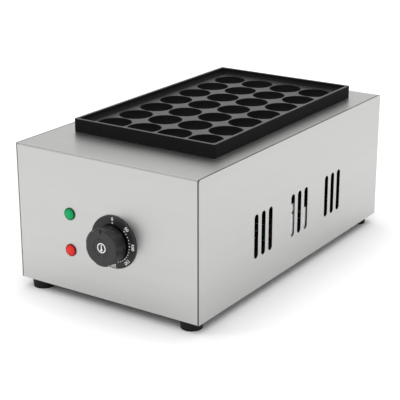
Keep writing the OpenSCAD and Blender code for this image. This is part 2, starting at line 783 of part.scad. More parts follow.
module thermostat_body() color("#3a2a20") on_front(dial_x, dial_z) difference() {
    z0 = -sheet_t - plate_t;
    union() {
        translate([0, 0, z0 - stat_deep]) linear_extrude(stat_deep) soft_rect(stat_w, stat_tall, stat_round);
        // blades for push-on terminals
        for (s = [-1, 1])
            translate([s * stat_blade_x, stat_blade_z - dial_z, z0 - stat_deep - stat_blade_l])
                linear_extrude(stat_blade_l + past) square([stat_blade_t, stat_blade_w], center = true);
    }
    translate([0, 0, z0 - spindle_in - 1]) cylinder(r = spindle_d / 2 + hole_play, h = spindle_in + 1 + past);
    for (s = [-1, 1]) translate([s * stat_pitch / 2, 0, z0 - stat_screw_in - 2])
        cylinder(d = stat_screw_d + 1, h = stat_screw_in + 2 + past);
    translate([-dial_x, capillary_z - dial_z, z0 - stat_deep - past])
        cylinder(d = capillary_d + 2 * snug, h = capillary_in + past);
}

// Countersunk screws through dial ring and front sheet into the bracket
module thermostat_screws() color("silver") on_front(dial_x, dial_z)
    for (s = [-1, 1]) translate([s * stat_pitch / 2, 0, 0]) difference() {
        union() {
            translate([0, 0, -sheet_t - plate_t - stat_screw_in])
                cylinder(d = stat_screw_d, h = sheet_t + plate_t + stat_screw_in + dial_t - stat_head_sink);
            translate([0, 0, dial_t - stat_head_sink - stat_head_h])
                cylinder(d1 = stat_screw_d, d2 = stat_head_d, h = stat_head_h);
        }
        translate([0, 0, dial_t]) cube([stat_head_d, 1, 1.6], center = true);
    }

module thermostat_spindle() color("silver") on_front(dial_x, dial_z) difference() {
    back = -sheet_t - plate_t - spindle_in;
    tip = knob_back + knob_bore_l - 0.5;
    translate([0, 0, back]) cylinder(d = spindle_d, h = tip - back);
    translate([-spindle_d, spindle_d / 2 - spindle_flat, knob_back])
        cube([2 * spindle_d, spindle_d, knob_bore_l]);
}

module dial_ring() color("#202022") on_front(dial_x, dial_z) difference() {
    edge = 0.8;
    union() {
        cylinder(d = dial_d, h = dial_t - edge);
        translate([0, 0, dial_t - edge]) cylinder(d1 = dial_d, d2 = dial_d - 2 * edge, h = edge);
    }
    translate([0, 0, -past]) cylinder(r = boss_d / 2 + hole_play, h = dial_t + 2 * past);
    for (s = [-1, 1]) translate([s * stat_pitch / 2, 0, 0]) {
        translate([0, 0, -past]) cylinder(r = stat_screw_d / 2 + hole_play, h = dial_t + 2 * past);
        translate([0, 0, dial_t - stat_head_h - stat_head_sink - snug])
            cylinder(r1 = stat_screw_d / 2 + hole_play, r2 = stat_head_d / 2 + hole_play,
                h = stat_head_h + snug + stat_head_sink);
    }
}

module knob() color("#2b2b2d") on_front(dial_x, dial_z) difference() {
    lean = 6;
    rotate_extrude() polygon(knob_side);
    // finger scallops that run out towards the back
    for (i = [0:knob_lobes - 1]) rotate([0, 0, 90 + (i + 0.5) * 360 / knob_lobes])
        translate([knob_d / 2 + scallop_r - scallop_depth, 0, knob_reach]) rotate([0, -lean, 0])
            translate([0, 0, -3 * knob_reach]) cylinder(r = scallop_r, h = 4 * knob_reach);
    // shallow dish in the front and the seat of the sign
    translate([0, 0, knob_reach - dish_depth]) cylinder(d1 = dish_d - 2, d2 = dish_d, h = dish_depth + snug);
    translate([0, 0, knob_reach - dish_depth - symbol_t]) cylinder(d = symbol_d + 1, h = symbol_t + past);
    // pointer notch at the rim
    translate([-0.8, knob_d / 2 - 5, knob_reach - 1.2]) cube([1.6, 6, 3]);
    // bore with its flat, and the hollow back
    translate([0, 0, knob_back - past]) intersection() {
        cylinder(d = spindle_d + 2 * snug, h = knob_bore_l + past);
        translate([-spindle_d, -spindle_d, 0])
            cube([2 * spindle_d, 1.5 * spindle_d - spindle_flat + snug, knob_bore_l + 2 * past]);
    }
    translate([0, 0, knob_back - past]) difference() {
        cylinder(d = knob_base_d - 6, h = knob_bore_l + past - knob_web);
        cylinder(d = spindle_d + 7, h = knob_bore_l + past);
    }
}

// Pale ring with a small thermometer in it, let into the knob's face
module knob_symbol() color("white") on_front(dial_x, dial_z)
    translate([0, 0, knob_reach - dish_depth - symbol_t]) {
        washer(symbol_d, symbol_d - 2 * symbol_line, symbol_t);
        translate([0, -symbol_d * 0.2, 0]) cylinder(d = symbol_d * 0.24, h = symbol_t);
        translate([-symbol_d * 0.05, -symbol_d * 0.2, 0]) cube([symbol_d * 0.1, symbol_d * 0.5, symbol_t]);
    }

// Lens with a flat rim and a low dome
module lamp_lens(z) on_front(-lamp_x, z) {
    dome_r = (lamp_dome_d * lamp_dome_d / 4 + lamp_dome_h * lamp_dome_h) / 2 / lamp_dome_h;
    cylinder(d = lamp_d, h = lamp_rim_h - 0.5);
    translate([0, 0, lamp_rim_h - 0.5]) cylinder(d1 = lamp_d, d2 = lamp_d - 1, h = 0.5);
    translate([0, 0, lamp_rim_h]) intersection() {
        translate([0, 0, lamp_dome_h - dome_r]) sphere(dome_r);
        cylinder(d = lamp_d, h = lamp_dome_h + past);
    }
}

// Round lamp housing through the sheet, with two wire tails
module lamp_body(z) on_front(-lamp_x, z) {
    translate([0, 0, -lamp_body_l]) cylinder(d = lamp_body_d, h = lamp_body_l);
    for (s = [-1, 1]) translate([s * lamp_tail_x, 0, -lamp_body_l - lamp_tail_l])
        cylinder(d = 1, h = lamp_tail_l + past);
}

module green_lamp_lens() color("#00a65a") lamp_lens(lamp_heights[1]);
module red_lamp_lens() color("#e53230") lamp_lens(lamp_heights[0]);
module green_lamp_body() color("ivory") lamp_body(lamp_heights[1]);
module red_lamp_body() color("ivory") lamp_body(lamp_heights[0]);

module lamp_nuts() color("silver") for (z = lamp_heights) on_front(-lamp_x, z)
    translate([0, 0, -sheet_t - lamp_nut_t]) nut(lamp_body_d + 4, lamp_nut_t, lamp_body_d + 2 * snug);

// ---------- connection ----------

// Folded bracket on the right panel's lower flange: a wide and a narrow upright
module terminal_bracket() color("gainsboro") placed() difference() {
    span = bracket_wide + bracket_window + bracket_narrow;
    union() {
        translate([bracket_x + tray_t - bracket_foot, bracket_y, bracket_z])
            cube([bracket_foot, span, tray_t]);
        translate([bracket_x, bracket_y, bracket_z]) cube([tray_t, bracket_wide, bracket_top - bracket_z]);
        translate([bracket_x, bracket_y + span - bracket_narrow, bracket_z])
            cube([tray_t, bracket_narrow, bracket_low_top - bracket_z]);
        translate([bracket_x, bracket_y, bracket_z]) cube([tray_t, span, bracket_web]);
    }
    for (y = bracket_screw_y) translate([base_screw_x, y, bracket_z - past])
        cylinder(r = base_screw_d / 2 + snug, h = tray_t + 2 * past);
    for (s = [-1, 1]) translate([bracket_x - past, block_y, block_z + block_tall / 2 + s * block_screw_z])
        rotate([0, 90, 0]) cylinder(r = block_screw_d / 2 + hole_play, h = tray_t + 2 * past);
}

// Ceramic block with a wire bore and two screw wells for each pole
module terminal_block() color("white") placed() difference() {
    translate([bracket_x - block_deep, block_y - block_w / 2, block_z])
        cube([block_deep, block_w, block_tall]);
    for (z = pole_z) {
        drill_y(pole_x, z, block_y - block_w / 2 - past, block_w + 2 * past, block_bore_d / 2);
        for (s = [-1, 1]) translate([pole_x - block_deep, block_y + s * block_w / 4, z]) rotate([0, 90, 0])
            cylinder(d = block_well_d, h = block_deep);
    }
    for (s = [-1, 1]) translate([bracket_x + past, block_y, block_z + block_tall / 2 + s * block_screw_z])
        rotate([0, -90, 0]) cylinder(r = block_screw_d / 2 + hole_play, h = block_deep + 2 * past);
}

// Screws that hold the block to its bracket
module terminal_screws() color("silver") placed()
    for (s = [-1, 1])
        translate([bracket_x - block_deep, block_y, block_z + block_tall / 2 + s * block_screw_z])
            rotate([0, 90, 0]) screw(block_screw_d, block_deep + tray_t + 0.6, 2 * block_screw_d, 1.8);

// Slotted grub screws that press on the wires in the block
module clamp_screws() color("silver") placed() for (z = pole_z, s = [-1, 1])
    translate([pole_x - wire_d / 2 - snug, block_y + s * block_w / 4, z]) rotate([0, -90, 0]) difference() {
        cylinder(d = block_well_d - 2 * snug, h = 4);
        translate([0, 0, 4]) cube([block_well_d, 0.8, 2], center = true);
    }

module bracket_screws() color("dimgray") placed()
    for (x = [-1, 1], y = bracket_screw_y) translate([x * base_screw_x, y, 0])
        screw(base_screw_d, base_screw_l, base_head_d, base_head_h);

// Insulated sleeves over the thermostat's blades
module push_on_terminals() color("ivory") placed() for (s = [-1, 1])
    translate([dial_x + s * stat_blade_x, push_back, stat_blade_z]) rotate([90, 0, 0]) difference() {
        translate([-push_on[1] / 2, -push_on[0] / 2, 0]) cube([push_on[1], push_on[0], push_on[2]]);
        translate([0, 0, push_on[2] - stat_blade_l / 2]) cube([stat_blade_t + 2 * push_play,
            stat_blade_w + 2 * push_play, stat_blade_l + 2 * push_play], center = true);
    }

// Ring, tab and barrel of a lug, with the ring's underside at z = 0 and the barrel towards -y
module lug(hole_d, barrel_z = lug_t / 2) difference() {
    union() {
        cylinder(d = lug_d, h = lug_t);
        translate([-lug_tab_w / 2, -lug_barrel_top - 1, 0]) cube([lug_tab_w, lug_barrel_top + 1, lug_t]);
        translate([0, -lug_reach, barrel_z]) rotate([-90, 0, 0])
            cylinder(d = lug_barrel_d, h = lug_reach - lug_barrel_top);
    }
    translate([0, 0, -past]) cylinder(d = hole_d, h = lug_t + 2 * past);
}

module wire_lugs() color("silver") at_legs() for (z = [near_lug, far_lug])
    translate([0, 0, heater_tail + z]) lug(stud_d + 2 * snug);

// A power wire, and a lamp wire with tighter bends
module wire(route) tube_run(route, wire_d, wire_bend);
module thin_wire(route) tube_run(route, lamp_wire_d, 0.7 * wire_bend);

module live_wire() color("#6b4226") placed() wire(live_route);

module switched_wires() color("#222222") placed() {
    wire(switched_route);
    wire(switched_link);
}

module neutral_wires() color("#2f6fb3") placed() {
    wire(neutral_route);
    wire(neutral_link);
}

module earth_wire() color("#7fb23a") placed() {
    wire(earth_route);
    translate([rear_x, body_d / 2 - sheet_t, earth_z]) rotate([90, 0, 0]) mirror([0, 1, 0])
        lug(earth_d + 2 * snug, lug_barrel_rise);
}

// The inner wires go to the live blade and the right heater, the outer ones to the left heater
module lamp_wires() color("whitesmoke") placed() {
    x_in = -lamp_x + lamp_tail_x;
    x_out = -lamp_x - lamp_tail_x;
    pair = lamp_wire_d / 2 + snug;
    over_blade = stat_blade_z + blade_pair + 2 * wire_bend;
    at_blade = stat_blade_z + blade_pair + 0.4;
    thin_wire([[x_in, lamp_tail_y, lamp_heights[1]], [x_in, blade_turn_y, lamp_heights[1]],
        [x_in, blade_turn_y, over_blade], [live_x, blade_turn_y, over_blade],
        [live_x, blade_turn_y, at_blade], [live_x, push_back, at_blade]]);
    thin_wire([[x_in, lamp_tail_y, lamp_heights[0]], [x_in, lamp_turn_y, lamp_heights[0]],
        [leg_x[2], lamp_turn_y, lamp_heights[0]], [leg_x[2], lamp_turn_y, lamp_run_z],
        [leg_x[2], near_y, lamp_run_z], [leg_x[2], near_y, lug_z]]);
    for (i = [0, 1]) {
        x = leg_x[0] + (2 * i - 1) * pair;
        thin_wire([[x_out, lamp_tail_y, lamp_heights[i]], [x_out, lamp_turn_y, lamp_heights[i]],
            [x, lamp_turn_y, lamp_heights[i]], [x, lamp_turn_y, lamp_run_z],
            [x, near_y, lamp_run_z], [x, near_y, lug_z]]);
    }
}

module gland_body() color("#1a1a1c") on_rear(-rear_x, gland_z) difference() {
    union() {
        translate([0, 0, -sheet_t - gland_inside]) cylinder(d = gland_shank_d, h = sheet_t + gland_inside);
        hex_prism(gland_af, gland_flange_t);
        cylinder(d = gland_nose_d, h = gland_flange_t + gland_nose_l);
    }
    translate([0, 0, -sheet_t - gland_inside - past])
        cylinder(d = gland_bore_d, h = sheet_t + gland_inside + gland_flange_t + gland_nose_l + 2 * past);
}

module gland_locknut() color("#1a1a1c") on_rear(-rear_x, gland_z)
    translate([0, 0, -sheet_t - gland_nut_t]) nut(gland_af + 2, gland_nut_t, gland_shank_d + 2 * snug);

module gland_seal() color("#303030") on_rear(-rear_x, gland_z)
    translate([0, 0, gland_flange_t + gland_nose_l])
        washer(gland_seal_d, cord_d, gland_hollow - gland_flange_t - gland_nose_l);

module gland_cap() color("#1a1a1c") on_rear(-rear_x, gland_z) difference() {
    union() {
        translate([0, 0, gland_flange_t]) hex_prism(gland_cap_af, gland_cap_hex_l);
        translate([0, 0, gland_flange_t + gland_cap_hex_l])
            cylinder(d1 = gland_cap_af, d2 = gland_cap_af * 0.72,
                h = gland_reach - gland_flange_t - gland_cap_hex_l);
    }
    translate([0, 0, gland_flange_t - past]) cylinder(d = gland_nose_d + 2 * snug, h = gland_nose_l + past);
    translate([0, 0, gland_flange_t])
        cylinder(d = gland_seal_d + 2 * snug, h = gland_hollow - gland_flange_t);
    translate([0, 0, gland_flange_t]) cylinder(d = cord_d + 0.6, h = gland_reach);
}

module earth_stud() color("goldenrod") on_rear(rear_x, earth_z) {
    translate([0, 0, -sheet_t - lug_t - earth_head_h]) hex_prism(earth_head_af, earth_head_h);
    translate([0, 0, -sheet_t - lug_t - earth_head_h / 2])
        cylinder(d = earth_d, h = sheet_t + lug_t + earth_head_h / 2 + earth_out);
}

module earth_washers() color("silver") on_rear(rear_x, earth_z)
    washer(earth_washer_d, earth_d + 2 * snug, earth_washer_t);

module earth_nuts() color("goldenrod") on_rear(rear_x, earth_z)
    translate([0, 0, earth_washer_t]) nut(earth_head_af, earth_nut_t, earth_d + 2 * snug);

wrap_cover();
side_panel_right();
side_panel_left();
base_plate();
base_screws();
foot_front_left();
foot_front_right();
foot_rear_left();
foot_rear_right();
foot_washers();
foot_screws();
foot_nuts();
baking_pan();
reflector_tray();
support_front();
support_rear();
heater_left();
heater_right();
heater_fittings();
heater_nuts();
heater_insulators();
heater_studs();
stud_nuts();
capillary_sensor();
thermostat_bracket();
thermostat_body();
thermostat_screws();
thermostat_spindle();
dial_ring();
knob();
knob_symbol();
green_lamp_lens();
green_lamp_body();
red_lamp_lens();
red_lamp_body();
lamp_nuts();
terminal_bracket();
terminal_block();
terminal_screws();
clamp_screws();
bracket_screws();
push_on_terminals();
wire_lugs();
live_wire();
switched_wires();
neutral_wires();
earth_wire();
lamp_wires();
gland_body();
gland_locknut();
gland_seal();
gland_cap();
earth_stud();
earth_washers();
earth_nuts();
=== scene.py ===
# %% [markdown]
# # A countertop takoyaki maker
# The object is a folded box of brushed stainless steel on four rubber feet, with a black cast
# pan of round cups in its top, two signal lamps and a thermostat knob. Its sheet metal, pan and
# controls come as a fixed frame of exact solids. This script gives every solid its finish, adds
# what is printed on it, and sets up the camera, floor and light. All lengths are in metres.

import json
import math

import bmesh
import bpy
from mathutils import Matrix, Vector

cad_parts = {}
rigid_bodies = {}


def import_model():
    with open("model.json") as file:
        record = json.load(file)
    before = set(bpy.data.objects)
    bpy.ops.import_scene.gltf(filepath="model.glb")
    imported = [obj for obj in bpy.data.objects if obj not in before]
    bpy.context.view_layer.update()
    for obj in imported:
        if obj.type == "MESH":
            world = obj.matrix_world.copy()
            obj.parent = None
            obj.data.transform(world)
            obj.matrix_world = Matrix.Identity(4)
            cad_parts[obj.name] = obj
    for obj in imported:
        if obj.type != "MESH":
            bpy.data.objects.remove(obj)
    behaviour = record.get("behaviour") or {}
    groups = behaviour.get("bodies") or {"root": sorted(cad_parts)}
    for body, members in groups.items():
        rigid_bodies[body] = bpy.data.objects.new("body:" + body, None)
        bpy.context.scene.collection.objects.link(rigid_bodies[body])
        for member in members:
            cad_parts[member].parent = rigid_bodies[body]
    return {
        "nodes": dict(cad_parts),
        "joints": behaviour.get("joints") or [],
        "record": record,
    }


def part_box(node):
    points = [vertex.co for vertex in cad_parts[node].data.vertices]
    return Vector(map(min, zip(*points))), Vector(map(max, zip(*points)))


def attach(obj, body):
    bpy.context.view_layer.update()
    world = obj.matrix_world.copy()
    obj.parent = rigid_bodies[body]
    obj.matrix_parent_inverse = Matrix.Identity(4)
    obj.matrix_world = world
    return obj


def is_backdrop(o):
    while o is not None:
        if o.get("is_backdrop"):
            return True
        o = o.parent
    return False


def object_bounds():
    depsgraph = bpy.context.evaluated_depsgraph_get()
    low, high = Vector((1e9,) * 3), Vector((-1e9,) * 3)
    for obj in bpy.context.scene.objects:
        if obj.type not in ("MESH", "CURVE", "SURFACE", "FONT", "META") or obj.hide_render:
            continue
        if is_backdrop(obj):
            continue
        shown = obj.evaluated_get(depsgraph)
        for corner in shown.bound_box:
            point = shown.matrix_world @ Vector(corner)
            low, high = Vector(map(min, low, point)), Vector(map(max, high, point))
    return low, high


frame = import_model()
nodes = frame["nodes"]
record = frame["record"]
cad_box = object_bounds()
MM = 0.001

# %% [markdown]
# ## Places taken from the frame
# Nothing here is measured by eye: the box of each solid says where its piece is. The knob's
# axis is the hinge of its joint, so everything round the dial is placed from that one point.
# The cooking surface lies inside the pan's box, so its height comes from the record: the opening
# of each cup is a box that begins a fixed depth below that surface.

# %% Named places
CUP_OPENING_DEPTH = 12 * MM
cover_low, cover_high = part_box("wrap_cover")
pan_low, pan_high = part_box("baking_pan")
ring_low, ring_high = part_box("dial_ring")
panel_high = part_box("side_panel_right")[1]
knob_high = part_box("knob")[1]
knob_joint = next(j for j in frame["joints"] if j["child"] == "knob")
knob_axis = Vector(knob_joint["pos_m"])
openings = record["physics"]["openings"]
cup_low = next(o["box_m"][0] for o in openings if o["name"].startswith("cup_"))
cooking_z = cup_low[2] + CUP_OPENING_DEPTH
box_middle_y = (cover_low.y + cover_high.y) / 2
box_half_y = (cover_high.y - cover_low.y) / 2
pan_middle_y = (pan_low.y + pan_high.y) / 2
print("cooking surface at", round(cooking_z, 4), "dial front at", round(ring_low.y, 4))

# %% [markdown]
# ## The camera
# The photograph was taken with a long lens from the right and a little above. A pinhole camera
# fitted to the corners of the box and the pan gives its direction, its distance and the point
# it looks at, which is measured from the middle of the box's underside. The feet lift the box,
# and with it that point, above the floor.

# %% Camera
CAMERA_AZIMUTH = 33.6
CAMERA_ELEVATION = 19.3
CAMERA_DISTANCE = 1.403
CAMERA_LENS = 107.2
SENSOR_WIDTH = 36.0
VIEW_LIMIT = 50.0
AIM_ABOVE_UNDERSIDE = Vector((-0.0268, 0.0172, 0.0415))
foot_height = cover_low.z
camera_target = AIM_ABOVE_UNDERSIDE + Vector((0, 0, foot_height))


def direction(azimuth, elevation):
    """Unit vector from the object towards a viewer; azimuth 0 stands in front of it."""
    a, e = math.radians(azimuth), math.radians(elevation)
    return Vector((math.sin(a) * math.cos(e), -math.cos(a) * math.cos(e), math.sin(e)))


def look(obj, place, target):
    """Puts an object at a place with its local -Z towards a target."""
    obj.location = place
    obj.rotation_mode = "QUATERNION"
    obj.rotation_quaternion = (target - place).to_track_quat("-Z", "Y")


camera_data = bpy.data.cameras.new("camera")
camera_data.lens = CAMERA_LENS
camera_data.sensor_width = SENSOR_WIDTH
camera_data.clip_end = VIEW_LIMIT
camera = bpy.data.objects.new("camera", camera_data)
bpy.context.scene.collection.objects.link(camera)
camera_place = camera_target + direction(CAMERA_AZIMUTH, CAMERA_ELEVATION) * CAMERA_DISTANCE
look(camera, camera_place, camera_target)
bpy.context.scene.camera = camera
print("camera at", [round(v, 3) for v in camera.location])

# %% [markdown]
# ## Floor and light
# The photograph is a studio shot on white: no horizon, a soft dark band where the box meets the
# floor, and light so even that the steel is almost flat in tone. Such a shot is made in a white
# tent with a large softbox above it, and so is this one: the world is the tent, and a panel
# several metres wide hangs over the object. The tent alone would light all faces of a metal box
# alike. With part of the light moved overhead the floor turns whiter than the tent, and then each
# face takes the tone of what it mirrors: the front and side mirror the floor, and come out
# lighter than the top, which mirrors the tent behind the box. The front panel, to the right of
# the camera, fills what the overhead one leaves in shade. The small softbox on the left draws
# the highlights on knob and lenses.
#
# White floors in such pictures are lit from below as well, or whitened afterwards: the shadow
# fades to pure white a hand's breadth from the object. A floor that glows a little where it is
# clear of the box does the same.

# %% World, floor and lamps
TENT_STRENGTH = 0.80
FLOOR_SIZE = 30.0
# Each light: its place, the point it faces, the side of its square, and its power in watts.
LIGHTS = {
    "overhead": ((-0.2, 1.0, 2.4), (-0.2, 1.0, 0.0), 4.0, 38),
    "front_panel": ((1.2, -2.3, 2.2), (0.0, 0.0, 0.0), 1.5, 13),
    "softbox": ((-0.9, -1.1, 1.5), (0.0, -0.1, 0.08), 0.5, 4),
}


def area_light(name, place, target, side, power):
    """A square soft light aimed at a point."""
    data = bpy.data.lights.new(name, "AREA")
    data.shape = "SQUARE"
    data.size = side
    data.energy = power
    lamp = bpy.data.objects.new(name, data)
    bpy.context.scene.collection.objects.link(lamp)
    look(lamp, Vector(place), Vector(target))


world = bpy.data.worlds.new("studio")
bpy.context.scene.world = world
world.use_nodes = True
background = world.node_tree.nodes["Background"]
background.inputs["Color"].default_value = (1, 1, 1, 1)
background.inputs["Strength"].default_value = TENT_STRENGTH
bpy.context.scene.view_settings.view_transform = "Standard"

half = FLOOR_SIZE / 2
floor_corners = [(-half, -half, 0), (half, -half, 0), (half, half, 0), (-half, half, 0)]
floor_mesh = bpy.data.meshes.new("floor")
floor_mesh.from_pydata(floor_corners, [], [(0, 1, 2, 3)])
floor = bpy.data.objects.new("floor", floor_mesh)
bpy.context.scene.collection.objects.link(floor)
floor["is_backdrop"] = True

for light_name, light_values in LIGHTS.items():
    area_light(light_name, *light_values)

# %% [markdown]
# ## Writing shader maths as Python
# A material is a graph of nodes, and a long graph is hard to read as a list of links. `Wire`
# wraps one output of one node and overloads the arithmetic operators, so that
# `0.3 + 0.1 * grain` builds the Math nodes it describes. `Finish.node` makes every other node:
# its type, its settings, and a value or a wire for each socket.

# %% Wires and finishes
class Wire:
    """One output socket, with arithmetic that adds Math nodes."""

    def __init__(self, finish, socket):
        self.finish = finish
        self.socket = socket

    def math(self, operation, left, right=0.0):
        return self.finish.node("Math", {"operation": operation}, {0: left, 1: right})

    def __add__(self, other):
        return self.math("ADD", self, other)

    def __sub__(self, other):
        return self.math("SUBTRACT", self, other)

    def __mul__(self, other):
        return self.math("MULTIPLY", self, other)

    def __truediv__(self, other):
        return self.math("DIVIDE", self, other)

    def __rsub__(self, other):
        return self.math("SUBTRACT", other, self)

    def __gt__(self, other):
        return self.math("GREATER_THAN", self, other)

    def __lt__(self, other):
        return self.math("LESS_THAN", self, other)

    __radd__ = __add__
    __rmul__ = __mul__

    def ramp(self, low, high):
        """0 at low, 1 at high, clamped and smooth between."""
        settings = {"interpolation_type": "SMOOTHSTEP"}
        sockets = {"Value": self, "From Min": low, "From Max": high}
        return self.finish.node("MapRange", settings, sockets)

    def axis(self, index):
        """One component of a vector."""
        return self.finish.node("SeparateXYZ", {}, {0: self}, output=index)

    def vector_math(self, operation, other):
        return self.finish.node("VectorMath", {"operation": operation}, {0: self, 1: other})

    def stretched(self, *factors):
        """A vector with each component scaled."""
        return self.vector_math("MULTIPLY", factors)

    def moved(self, *offset):
        """A vector with an offset added."""
        return self.vector_math("ADD", offset)

    def length(self):
        """The length of a vector."""
        return self.finish.node("VectorMath", {"operation": "LENGTH"}, {0: self}, output="Value")

    def unsigned(self):
        """A number without its sign."""
        return self.math("ABSOLUTE", self)

    def root(self):
        """The square root of a number."""
        return self.math("SQRT", self)

    def or_more(self, least):
        """A number, but no less than another."""
        return self.math("MAXIMUM", self, least)


class Finish:
    """A material being built."""

    def __init__(self, name):
        self.material = bpy.data.materials.new(name)
        self.material.use_nodes = True
        self.tree = self.material.node_tree
        self.tree.nodes.clear()

    def node(self, kind, settings=None, inputs=None, output=0):
        """Adds one node and returns one of its outputs; sockets take values or wires."""
        made = self.tree.nodes.new("ShaderNode" + kind)
        for key, value in (settings or {}).items():
            setattr(made, key, value)
        for key, value in (inputs or {}).items():
            if isinstance(value, Wire):
                self.tree.links.new(value.socket, made.inputs[key])
            else:
                made.inputs[key].default_value = value
        return Wire(self, made.outputs[output]) if made.outputs else None

    def place(self):
        """Where a point of the surface is, in metres."""
        return self.node("TexCoord", output="Object")

    def facing(self):
        """The direction that the surface faces."""
        return self.node("NewGeometry", output="Normal")

    def noise(self, vector, scale=1.0, detail=2.0, roughness=0.5):
        """Cloudy noise between 0 and 1; the scale is in clouds a metre."""
        sockets = {"Vector": vector, "Scale": scale, "Detail": detail, "Roughness": roughness}
        return self.node("TexNoise", {"noise_dimensions": "3D"}, sockets)

    def voronoi(self, vector, scale, output="Distance"):
        """Cells round scattered points: the distance to the point, or the cell's random colour."""
        return self.node("TexVoronoi", {}, {"Vector": vector, "Scale": scale}, output=output)

    def blend(self, low, high, amount):
        """A colour between two colours."""
        a, b = (c if isinstance(c, Wire) else (*c, 1.0) for c in (low, high))
        return self.node("Mix", {"data_type": "RGBA"}, {0: amount, 6: a, 7: b}, output=2)

    def bump(self, height, distance, strength=1.0, over=None):
        """A normal tilted by a height in units of distance, on top of `over` if it is given."""
        sockets = {"Height": height, "Distance": distance, "Strength": strength}
        if over is not None:
            sockets["Normal"] = over
        return self.node("Bump", {}, sockets)

    def shader(self, color, roughness, metallic=0.0, **sockets):
        """A Principled surface."""
        values = {"Base Color": color, "Roughness": roughness, "Metallic": metallic}
        if not isinstance(color, Wire):
            values["Base Color"] = (*color, 1.0)
        for key, value in sockets.items():
            values[key.replace("_", " ")] = value
        return self.node("BsdfPrincipled", {}, values)

    def mixed(self, amount, first, second):
        """Two surfaces, of which the second shows where the amount is 1."""
        return self.node("MixShader", {}, {0: amount, 1: first, 2: second})

    def done(self, surface):
        """Joins the surface to the output and returns the material."""
        self.node("OutputMaterial", {}, {"Surface": surface})
        return self.material


def grey(level):
    """A colour without hue."""
    return (level, level, level)


def toned(color, factor):
    """A colour times a factor, no brighter than white."""
    return [min(1.0, c * factor) for c in color]


def wear(*names, material):
    """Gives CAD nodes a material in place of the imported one."""
    for name in names:
        slots = nodes[name].data.materials
        slots.clear()
        slots.append(material)


print("finish tools ready")

# %% [markdown]
# ## Floor
# Plain matt white. A touch of cloudiness, far below what the eye picks out, keeps it from
# being a single flat number. The glow depends on the distance to the box's footprint: how far
# a point lies outside the box across and lengthways, each no less than nothing.

# %% Floor finish
FLOOR_DARK, FLOOR_PALE = grey(0.93), grey(0.95)
FLOOR_CLOUDS = 3.0
GLOW = 0.13
GLOW_STARTS = 5 * MM
GLOW_FULL = 75 * MM


def white_floor():
    f = Finish("white_floor")
    place = f.place()
    color = f.blend(FLOOR_DARK, FLOOR_PALE, f.noise(place, scale=FLOOR_CLOUDS))
    across = (place.axis(0).unsigned() - panel_high.x).or_more(0.0)
    along = ((place.axis(1) - box_middle_y).unsigned() - box_half_y).or_more(0.0)
    away = (across * across + along * along).root().ramp(GLOW_STARTS, GLOW_FULL)
    glow = f.blend(grey(0.0), grey(GLOW), away)
    matt = {"Specular_IOR_Level": 0.2, "Emission_Color": glow, "Emission_Strength": 1.0}
    return f.done(f.shader(color, 0.8, **matt))


floor_mesh.materials.append(white_floor())
print("floor done")

# %% [markdown]
# ## Brushed stainless steel
# The housing is 1 mm stainless sheet, ground with a belt before it is cut and folded. The belt
# leaves millions of parallel scratches a few centimetres long. From a metre away they can't be
# seen one by one: they widen the highlights and leave faint streaks. A photograph of steel could
# be wrapped round the box, but its streaks would stop at every fold. Noise stretched a
# hundredfold along the grain has no edges and stays true at any distance, so it is used here:
# the fine layer drives roughness and bump, the coarse one a small change of tone. The grain runs
# across the cover's front and top, and along the side panels.
#
# Only the outside is polished. Inside, the sheet is unground, so a mask made from the middle of
# the sheets makes every point behind it rougher and paints it near black as shade. That painted
# shade also keeps the open seam between cover and panel black. Two places are duller on the
# outside too. No belt has touched the sheared edge of the right side panel, and its colour is
# darkened further as painted shade of the seam beside it, so it shows as a dark line down the
# front corner. The outer skin of the fold between front and top is stretched when the sheet is
# bent, so that its grain opens up; its colour is also a little darker, as painted shade that dims
# the highlight along the fold.

# %% Steel sheet
HALF_SHEET = 0.5 * MM
SCRATCHES_ALONG, SCRATCHES_ACROSS = 14.0, 1500.0
STREAKS_ALONG, STREAKS_ACROSS = 2.5, 90.0
PATCHES = 14.0
SCRATCH_DEPTH = 0.04 * MM
STEEL_ROUGHNESS = 0.29
STEEL_TONE = 0.515
STEEL_DARK = toned((0.93, 0.93, 0.918), STEEL_TONE)
STEEL_PALE = toned((1.05, 1.05, 1.03), STEEL_TONE)
# The fold's colour is a little darker than the polished sheet: painted shade that dims its
# highlight.
FOLD_RADIUS, FOLD_PAINTED_SHADE = 2.0 * MM, grey(0.92 * STEEL_TONE)
# The sheared edge is unpolished; its dark colour is also painted shade of the seam beside it.
SHEARED_WIDTH, SHEARED_EDGE_AND_SEAM_SHADE = 1.1 * MM, grey(0.30 * STEEL_TONE)
# Painted shade: the near-black colour of the sheet's inside, which lies in the dark.
INSIDE_PAINTED_SHADE = grey(0.03)


def drawn_noise(f, place, axis, along, across, **settings):
    """Noise drawn out along one axis; both rates are in clouds a metre."""
    rates = [across] * 3
    rates[axis] = along
    return f.noise(place.stretched(*rates), **settings)


